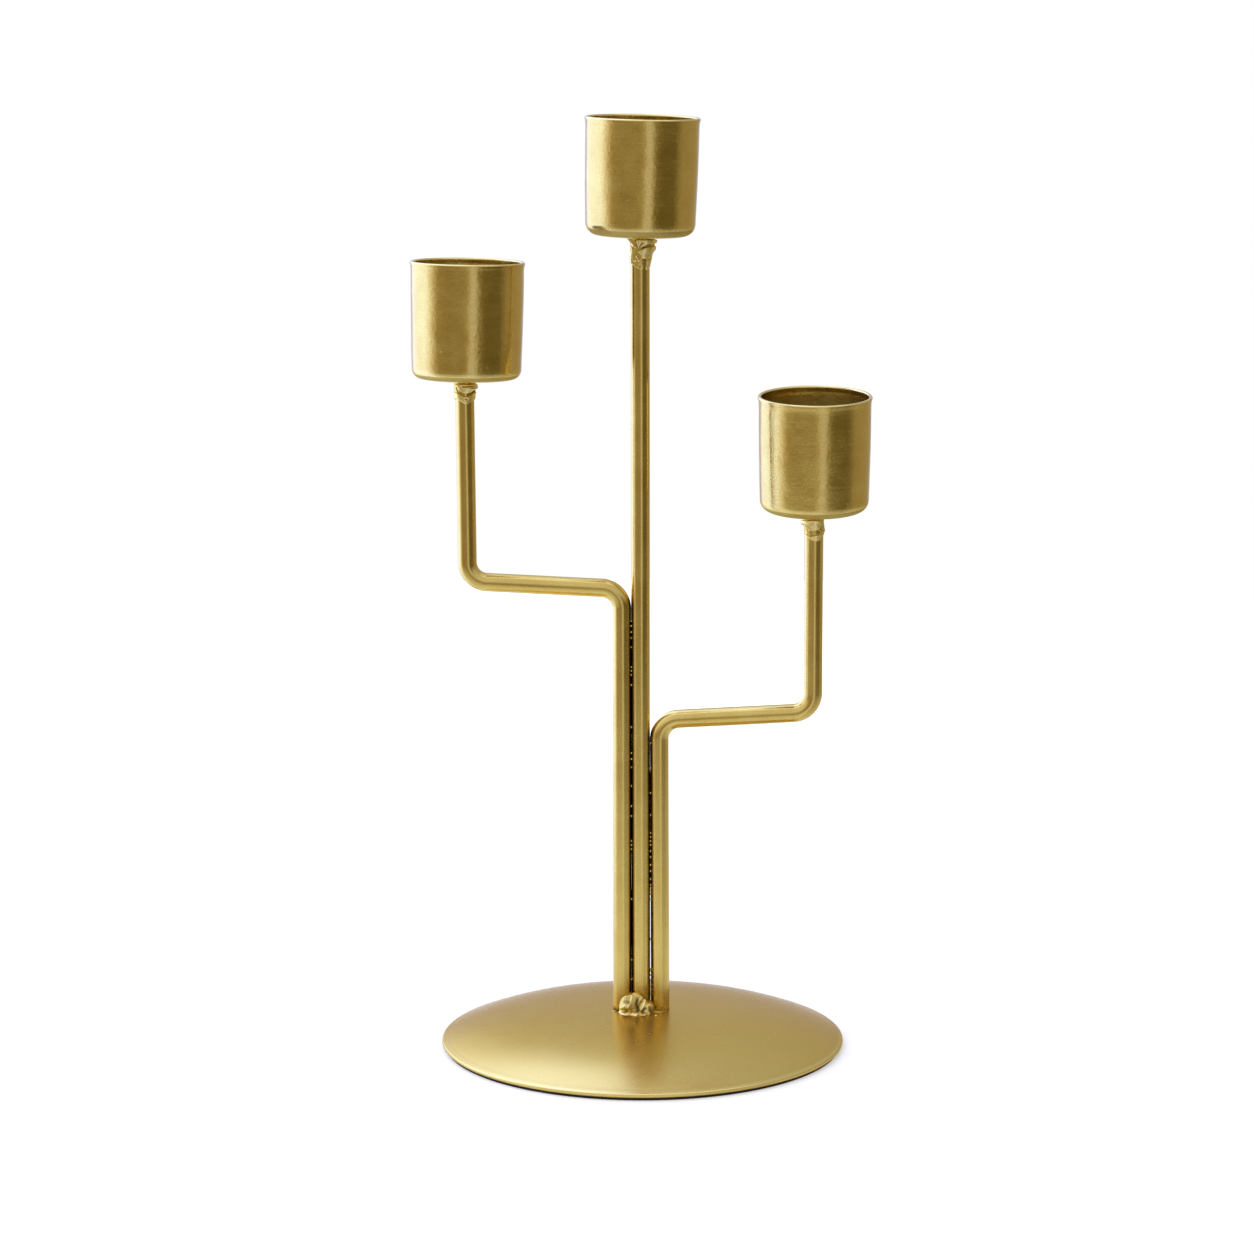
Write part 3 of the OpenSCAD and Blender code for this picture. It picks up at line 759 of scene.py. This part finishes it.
def base_profile():
    """Outline of the plate from the middle of its underside, round the hem and rim, to its top."""
    edge = math.degrees(math.atan(CROWN_POWER * CROWN_RISE / RIM_MID_R))
    rim = arc((RIM_MID_R, RIM_MID_Z), BASE_SHEET, -90, 90 - edge, RIM_STEPS)
    top = [(r, float(crown_z(r, 0))) for r in np.linspace(rim[-1][0], 0, BASE_ROWS)]
    top = [(r, z - GROOVE_DEPTH * groove_share(r)) for r, z in top]
    under = [(r, z - BASE_SHEET) for r, z in top[::-SHEET_STRIDE] if r < RIM_MID_R - HEM_TURN]
    hem = [(RIM_MID_R - HEM_TURN, RIM_MID_Z), (RIM_MID_R - HEM_W, RIM_MID_Z),
           (RIM_MID_R - HEM_W, PAD_T)]
    return under + hem + rim + top[1:]


def make_base(material):
    """The domed plate with its groove and rolled rim."""
    track, faces = lathe(base_profile(), BASE_SIDES)
    points = track.copy()
    r = np.hypot(points[:, 0], points[:, 1])
    waves = wobble(points, *BASE_WAVE, seed=4)
    points[:, 2] += waves * smooth(GROOVE_R - r, *BASE_WAVES_OUT) * smooth(r, *BASE_WAVES_IN)
    upper = points[:, 2] > RIM_MID_Z
    wear = RIM_WEAR * smooth(1.0 - np.abs(r - RIM_MID_R) / RIM_WEAR_W, 0.0, 1.0) * upper
    add_piece("base_plate_domed", points, faces, material, "base_gold", ("base_plate",),
              track, wear=wear, shade=GROOVE_SHADE * groove_share(r) * upper)


def straight(start, end):
    """Points from start to end, without start itself."""
    count = max(1, math.ceil(np.linalg.norm(end - start) / ROD_FACET))
    return [start + (end - start) * i / count for i in range(1, count + 1)]


def bend(before, corner, after):
    """Where the arc round a corner starts, its points, and where it ends."""
    into = (corner - before) / np.linalg.norm(corner - before)
    away = (after - corner) / np.linalg.norm(after - corner)
    swing = math.acos(float(into @ away))
    trim = BEND_R * math.tan(swing / 2)
    side = np.sign(into[0] * away[1] - into[1] * away[0])
    first = corner - into * trim
    mid = first + side * BEND_R * np.array([-into[1], into[0]])
    start = math.atan2(*(first - mid)[::-1])
    turns = [start + side * swing * i / BEND_STEPS for i in range(1, BEND_STEPS + 1)]
    points = [mid + BEND_R * np.array([math.cos(turn), math.sin(turn)]) for turn in turns]
    return first, points, corner + away * trim


def bent_line(corners):
    """Centre line points through the corners, straight between arcs of the bend radius."""
    corners = [np.array(corner) for corner in corners]
    last = corners[0]
    line = [last]
    for before, corner, after in zip(corners, corners[1:], corners[2:]):
        first, points, end = bend(before, corner, after)
        line += straight(last, first) + points
        last = end
    return line + straight(last, corners[-1])


def groove_shade(points):
    """Painted shade: black in the grooves where the rods touch side by side, and a black line at
    their feet.
    """
    shade = np.zeros(len(points))
    for x, top in GROOVES:
        gap = np.abs(points[:, 0] - x)
        reach = smooth(top - points[:, 2], -GROOVE_END, GROOVE_END)
        shade = np.maximum(shade, (1 - smooth(gap, *GROOVE_DARK)) * reach)
    foot = 1 - smooth(points[:, 2] - crown_z(points[:, 0], points[:, 1]), *FOOT_DARK)
    return np.maximum(shade, foot * np.where(points[:, 0] < FOOT_SPLIT, 1.0, FOOT_SHARE))


def capped_rings(count, segments):
    """Faces of a tube of rings, closed at both ends."""
    total = count * segments
    faces = ring_faces(count, segments)
    faces.append(tuple(range(segments))[::-1])
    faces.append(tuple(range(total - segments, total)))
    return faces


def make_rod(name, corners, material, seed):
    """A drawn rod swept along its bends."""
    line = bent_line(corners)
    points, track = [], []
    length = 0.0
    waves, share = ROD_WAVE
    for i, (x, z) in enumerate(line):
        ahead, behind = line[min(i + 1, len(line) - 1)], line[max(i - 1, 0)]
        dx, dz = (ahead - behind) / np.linalg.norm(ahead - behind)
        length += np.linalg.norm(line[i] - behind)
        thick = ROD_R * (1 + share * noise.noise(Vector((seed * ROD_SHIFT, length * waves, 0.0))))
        for j in range(ROD_SIDES):
            turn = 2 * math.pi * j / ROD_SIDES
            out, deep = thick * math.cos(turn), thick * math.sin(turn)
            points.append((x - dz * out, deep, z + dx * out))
            track.append((out, deep, length))
    points = np.array(points)
    add_piece(name + "_drawn", points, capped_rings(len(line), ROD_SIDES), material,
              "rod_gold", (name,), track, shade=groove_shade(points))


def ball(level):
    """Unit directions and faces of a geodesic ball."""
    bm = bmesh.new()
    bmesh.ops.create_icosphere(bm, subdivisions=level, radius=1.0)
    rays = np.array([v.co.normalized() for v in bm.verts])
    faces = [tuple(v.index for v in f.verts) for f in bm.faces]
    bm.free()
    return rays, faces


def reach_of(rays, middle, blobs):
    """How far each ray runs from the middle to leave the last of its blobs, softly joined."""
    total = np.full(len(rays), BLOB_CORE ** BLEND)
    for at, size in blobs:
        start = (np.array(middle) - at) / size
        way = rays / size
        a = (way ** 2).sum(1)
        b = way @ start
        under = b * b - a * (start @ start - 1)
        far = np.where(under > 0, (-b + np.sqrt(np.maximum(under, 0))) / a, 0.0)
        total += np.maximum(far, 0.0) ** BLEND
    return total ** (1 / BLEND)


def picture(points):
    """Where points in millimetres show in the photograph, as columns and rows."""
    seen = (np.asarray(points) - CAMERA_AT) @ np.array(camera_turn())
    return np.stack([PHOTO_MIDDLE - FOCAL_PX * seen[:, 0] / seen[:, 2],
                     PHOTO_MIDDLE + FOCAL_PX * seen[:, 1] / seen[:, 2]], 1)


def height_of(row, y):
    """Height at which a row of the photograph meets the upright plane at y."""
    dip = math.radians(CAMERA_PITCH) + math.atan((row - PHOTO_MIDDLE) / FOCAL_PX)
    return CAMERA_AT[2] - (y - CAMERA_AT[1]) * math.tan(dip)


def line_distance(spots, line, closed=False):
    """Distance of picture points from a line of several stretches."""
    best = np.full(len(spots), np.inf)
    line = [np.array(end, float) for end in line]
    for start, end in zip(line, line[1:] + line[:1] if closed else line[1:]):
        way = end - start
        share = np.clip((spots - start) @ way / (way @ way), 0, 1)
        best = np.minimum(best, np.linalg.norm(spots - start - share[:, None] * way, axis=1))
    return best


def depth_inside(spots, outline):
    """How deep picture points lie inside an outline; outside it is negative."""
    inside = np.zeros(len(spots), bool)
    x, y = spots[:, 0], spots[:, 1]
    for (x0, y0), (x1, y1) in zip(outline, outline[1:] + outline[:1]):
        if y0 != y1:
            inside ^= ((y0 > y) != (y1 > y)) & (x < (x1 - x0) * (y - y0) / (y1 - y0) + x0)
    return np.where(inside, 1, -1) * line_distance(spots, outline, True)


def marked(spots, facets, marks):
    """Push in millimetres, painted highlight and painted shade that facets and marks give to
    picture points.
    """
    push, painted_highlight, shade = np.zeros((3, len(spots)))
    for outline, top, foot in facets:
        rows = [row for column, row in outline]
        slope = np.interp(spots[:, 1], [min(rows), max(rows)], [top, foot])
        within = smooth(depth_inside(spots, outline), *FACET_EDGE)
        push, painted_highlight = np.maximum(push, slope * within), np.maximum(painted_highlight, within)
    for line, height, width in marks:
        near = np.exp(-(line_distance(spots, line) / width) ** 2)
        push += height * near
        if height < 0:
            shade = np.maximum(shade, near * min(1.0, -CREASE_DARK * height))
        else:
            painted_highlight = np.maximum(painted_highlight, near)
    return push, painted_highlight * (1 - shade), shade


def crumple(points, seed, size, height):
    """Crumpled foil: straight folds in many directions, bent by a slow wander."""
    random = np.random.default_rng(seed)
    total = np.zeros(len(points))
    for i in range(FOLDS):
        heading = random.normal(size=3)
        heading /= np.linalg.norm(heading)
        wave = points @ heading / (size * random.uniform(*FOLD_WIDTHS)) + random.uniform()
        wave += wobble(points, FOLD_WANDER[0] / size, FOLD_WANDER[1], seed + i)
        total += (np.abs(wave % 1 * 2 - 1) - 0.5) * random.uniform(*FOLD_HEIGHTS)
    return total / 2 * height


def make_base_weld(name, material, seed):
    """A weld lump on the base: a ball pushed out to its blobs, with marks in front and folds."""
    rays, faces = ball(WELD_LEVEL)
    reach = reach_of(rays, BASE_WELD_MIDDLE, [(np.array(at), np.array(r)) for at, r in BASE_BLOBS])
    points = np.array(BASE_WELD_MIDDLE) + rays * reach[:, None] + (0, 0, BASE_H)
    front = smooth(-rays[:, 1], *BASE_WELD_FRONT)
    push, painted_highlight, shade = marked(picture(points), [], BASE_MARKS)
    push = push * front + crumple(points, seed, *BASE_WELD_FOLDS)
    points += rays * push[:, None]
    floor = crown_z(points[:, 0], points[:, 1]) - BASE_WELD_SINK
    points[:, 2] = np.maximum(points[:, 2], floor)
    # Painted shade in the sunk marks and a little over the whole lump, painted highlight on raised
    # ones
    shade = np.maximum(shade * front * BASE_WELD_SHADE, BASE_WELD_LEAST_SHADE)
    add_piece(name + "_lump", points, faces, material, "weld_gold", (name,), points,
              wear=painted_highlight ** 2 * front * BASE_WELD_HIGHLIGHT, shade=shade)


def collar_sleeve(cup, rod, drop):
    """A sleeve round a rod, cut off to the cup's lean: its points, the way out from the rod at
    each, and the depth under the cup."""
    at, lean = CUPS[cup][:2]
    depth, turn = np.meshgrid(np.linspace(drop, -COLLAR_INTO_CUP, COLLAR_ROWS),
                              np.linspace(0, 2 * math.pi, COLLAR_SIDES, endpoint=False),
                              indexing="ij")
    depth, turn = depth.ravel(), turn.ravel()
    zero = np.zeros(len(turn))
    out = np.stack([np.cos(turn), np.sin(turn), zero], 1)
    points = out * ROD_R + np.stack([zero + RODS[rod][-1][0], zero, at[2] - depth], 1)
    tip, slant = [math.tan(math.radians(angle)) for angle in lean[:2]]
    points[:, 2] += (out[:, 1] * tip - out[:, 0] * slant) * ROD_R
    return points, out, depth


def side_width(out, depth, left, right):
    """How far a sleeve stands out to the left and right."""
    return (np.interp(depth, *zip(*left)) * np.maximum(-out[:, 0], 0) ** SIDE_POWER
            + np.interp(depth, *zip(*right)) * np.maximum(out[:, 0], 0) ** SIDE_POWER)


def skirted(push, spots, skirt):
    """The push ends at the skirt, below which the sleeve sinks into its rod."""
    columns, ends = zip(*skirt)
    over = np.interp(spots[:, 0], columns, ends) - spots[:, 1]
    sunk = COLLAR_SINK * (1 - smooth(over, *SINK_EDGE))
    return np.where(over > 0, push, 0) * smooth(over, *SKIRT_EDGE) - sunk


def make_collar(name, material, cup, rod, drop, left, right, facets, marks, skirt, seed):
    """A sleeve of weld metal round a rod under its cup."""
    points, out, depth = collar_sleeve(cup, rod, drop)
    spots = picture(points)
    front = smooth(-out[:, 1], *COLLAR_FRONT)
    push, painted_highlight, shade = marked(spots, facets, marks)
    push = np.where(front > 0, push, 0) * front + COLLAR_T + crumple(points, seed, *COLLAR_FOLDS)
    push += COLLAR_BULGE * (1 - front) * smooth(drop * BULGE_DROP - depth, *BULGE_FADE)
    push = skirted(push, spots, skirt) + side_width(out, depth, left, right)
    points += out * push[:, None]
    # Facets and raised marks carry painted highlight, sunk marks painted shade
    add_piece(name + "_lump", points, capped_rings(COLLAR_ROWS, COLLAR_SIDES), material,
              "weld_gold", (name,), points, wear=painted_highlight * front,
              shade=shade * front * COLLAR_SHADE, dull=painted_highlight * front * COLLAR_DULL)


def make_stitch(name, x, z, length, material, seed):
    """A rippled bead of weld behind the rods."""
    top = length - 2 * STITCH_R
    profile = arc((0.0, 0.0), STITCH_R, -90, 0, STITCH_STEPS)[:-1]
    profile += [(STITCH_R, 0.0), (STITCH_R, top)]
    profile += arc((0.0, top), STITCH_R, 0, 90, STITCH_STEPS)[1:]
    points, faces = lathe(densify(profile, STITCH_FACET), STITCH_SIDES)
    turn = 2 * math.pi * points[:, 2] / RIPPLE_L
    ripple = np.cos(turn + points[:, 1] * RIPPLE_LEAN + seed)
    points[:, :2] *= (1 - RIPPLE_SHARE + RIPPLE_SHARE * ripple)[:, None]
    points += np.array([x, STITCH_Y, z - length / 2 + STITCH_R])
    # Painted shade in the ripples' hollows
    add_piece(name + "_bead", points, faces, material, "weld_gold", (name,), points,
              shade=STITCH_SHADE * smooth(-ripple, *RIPPLE_DARK))


def make_grains(name, grains, material, seed):
    """Small grains of weld and spatter, one closed ball each, none quite round."""
    random = np.random.default_rng(seed)
    rays, faces = ball(GRAIN_LEVEL)
    points, all_faces = [], []
    for x, y, z, r, tall in grains:
        size = np.array([r, r, r * tall]) * random.uniform(*GRAIN_SIZES, 3)
        lump = rays * size * (1 + wobble(rays, *GRAIN_WAVE, x + z)[:, None])
        all_faces += [tuple(i + len(points) for i in face) for face in faces]
        points += (lump + (x, y, z)).tolist()
    add_piece(name, points, all_faces, material, "weld_gold", (), points,
              wear=np.full(len(points), GRAIN_WEAR))


def dress(names, material):
    """Gives the nodes of the part that show as they are their material."""
    for name in names:
        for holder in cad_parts[name].material_slots:
            holder.material = material


bpy.context.scene.view_settings.view_transform = "Standard"
aim_camera()
light_studio()
lay_floor()

cup_gold = gold("cup_gold_turned", 0.19, coat=1.0, coat_ior=1.3, streak=(0.15, 0.15, 3.0),
                streak_depth=0.0004, peel=1.1, peel_depth=0.04, pits=0.35, mottle=0.16, grit=0.12,
                edge=EDGE_SOFT)
rod_gold = gold("rod_gold_drawn", 0.19, coat=1.0, coat_ior=1.3, streak=(3.0, 3.0, 0.05),
                streak_depth=0.0015, peel=1.8, peel_depth=0.004, grit=0.08)
base_gold = gold("base_gold_satin", 0.28, coat=0.58, coat_rough=0.26, streak=(0.2, 0.2, 0.2),
                 peel=2.2, peel_depth=0.0015, streak_rough=0.01, stain=0.15, grit=0.02,
                 edge=EDGE_DEEP)
weld_gold = gold("weld_gold_cast", 0.25, peel=2.5, peel_depth=0.004)
foot_gold = gold("foot_gold_cast", 0.28, peel=2.5, peel_depth=0.004, pale=0.1)

for seed, cup in enumerate(CUPS):
    make_cup(cup, cup_gold, seed + 1)
make_base(base_gold)
for seed, (rod, corners) in enumerate(RODS.items()):
    make_rod(rod, corners, rod_gold, seed + 1)
make_base_weld("base_weld", foot_gold, seed=3)
for weld, sizes in COLLARS.items():
    make_collar(weld, weld_gold, **sizes)
for seed, (stitch, (x, z, length)) in enumerate(STITCHES.items()):
    make_stitch(stitch, x, z, length, weld_gold, seed)
for grains, (x, rows) in GRAINS.items():
    make_grains(grains, [(x, GRAIN_Y, height_of(row, GRAIN_Y), GRAIN_R, GRAIN_TALL)
                         for row in rows], weld_gold, seed=1)
make_grains("foot_spatter", [(x, y, float(crown_z(x, y)) + SPATTER_LIFT * r, r, tall)
                             for x, y, r, tall in SPATTER], weld_gold, seed=3)
dress(["base_pad"], foam("pad_foam"))
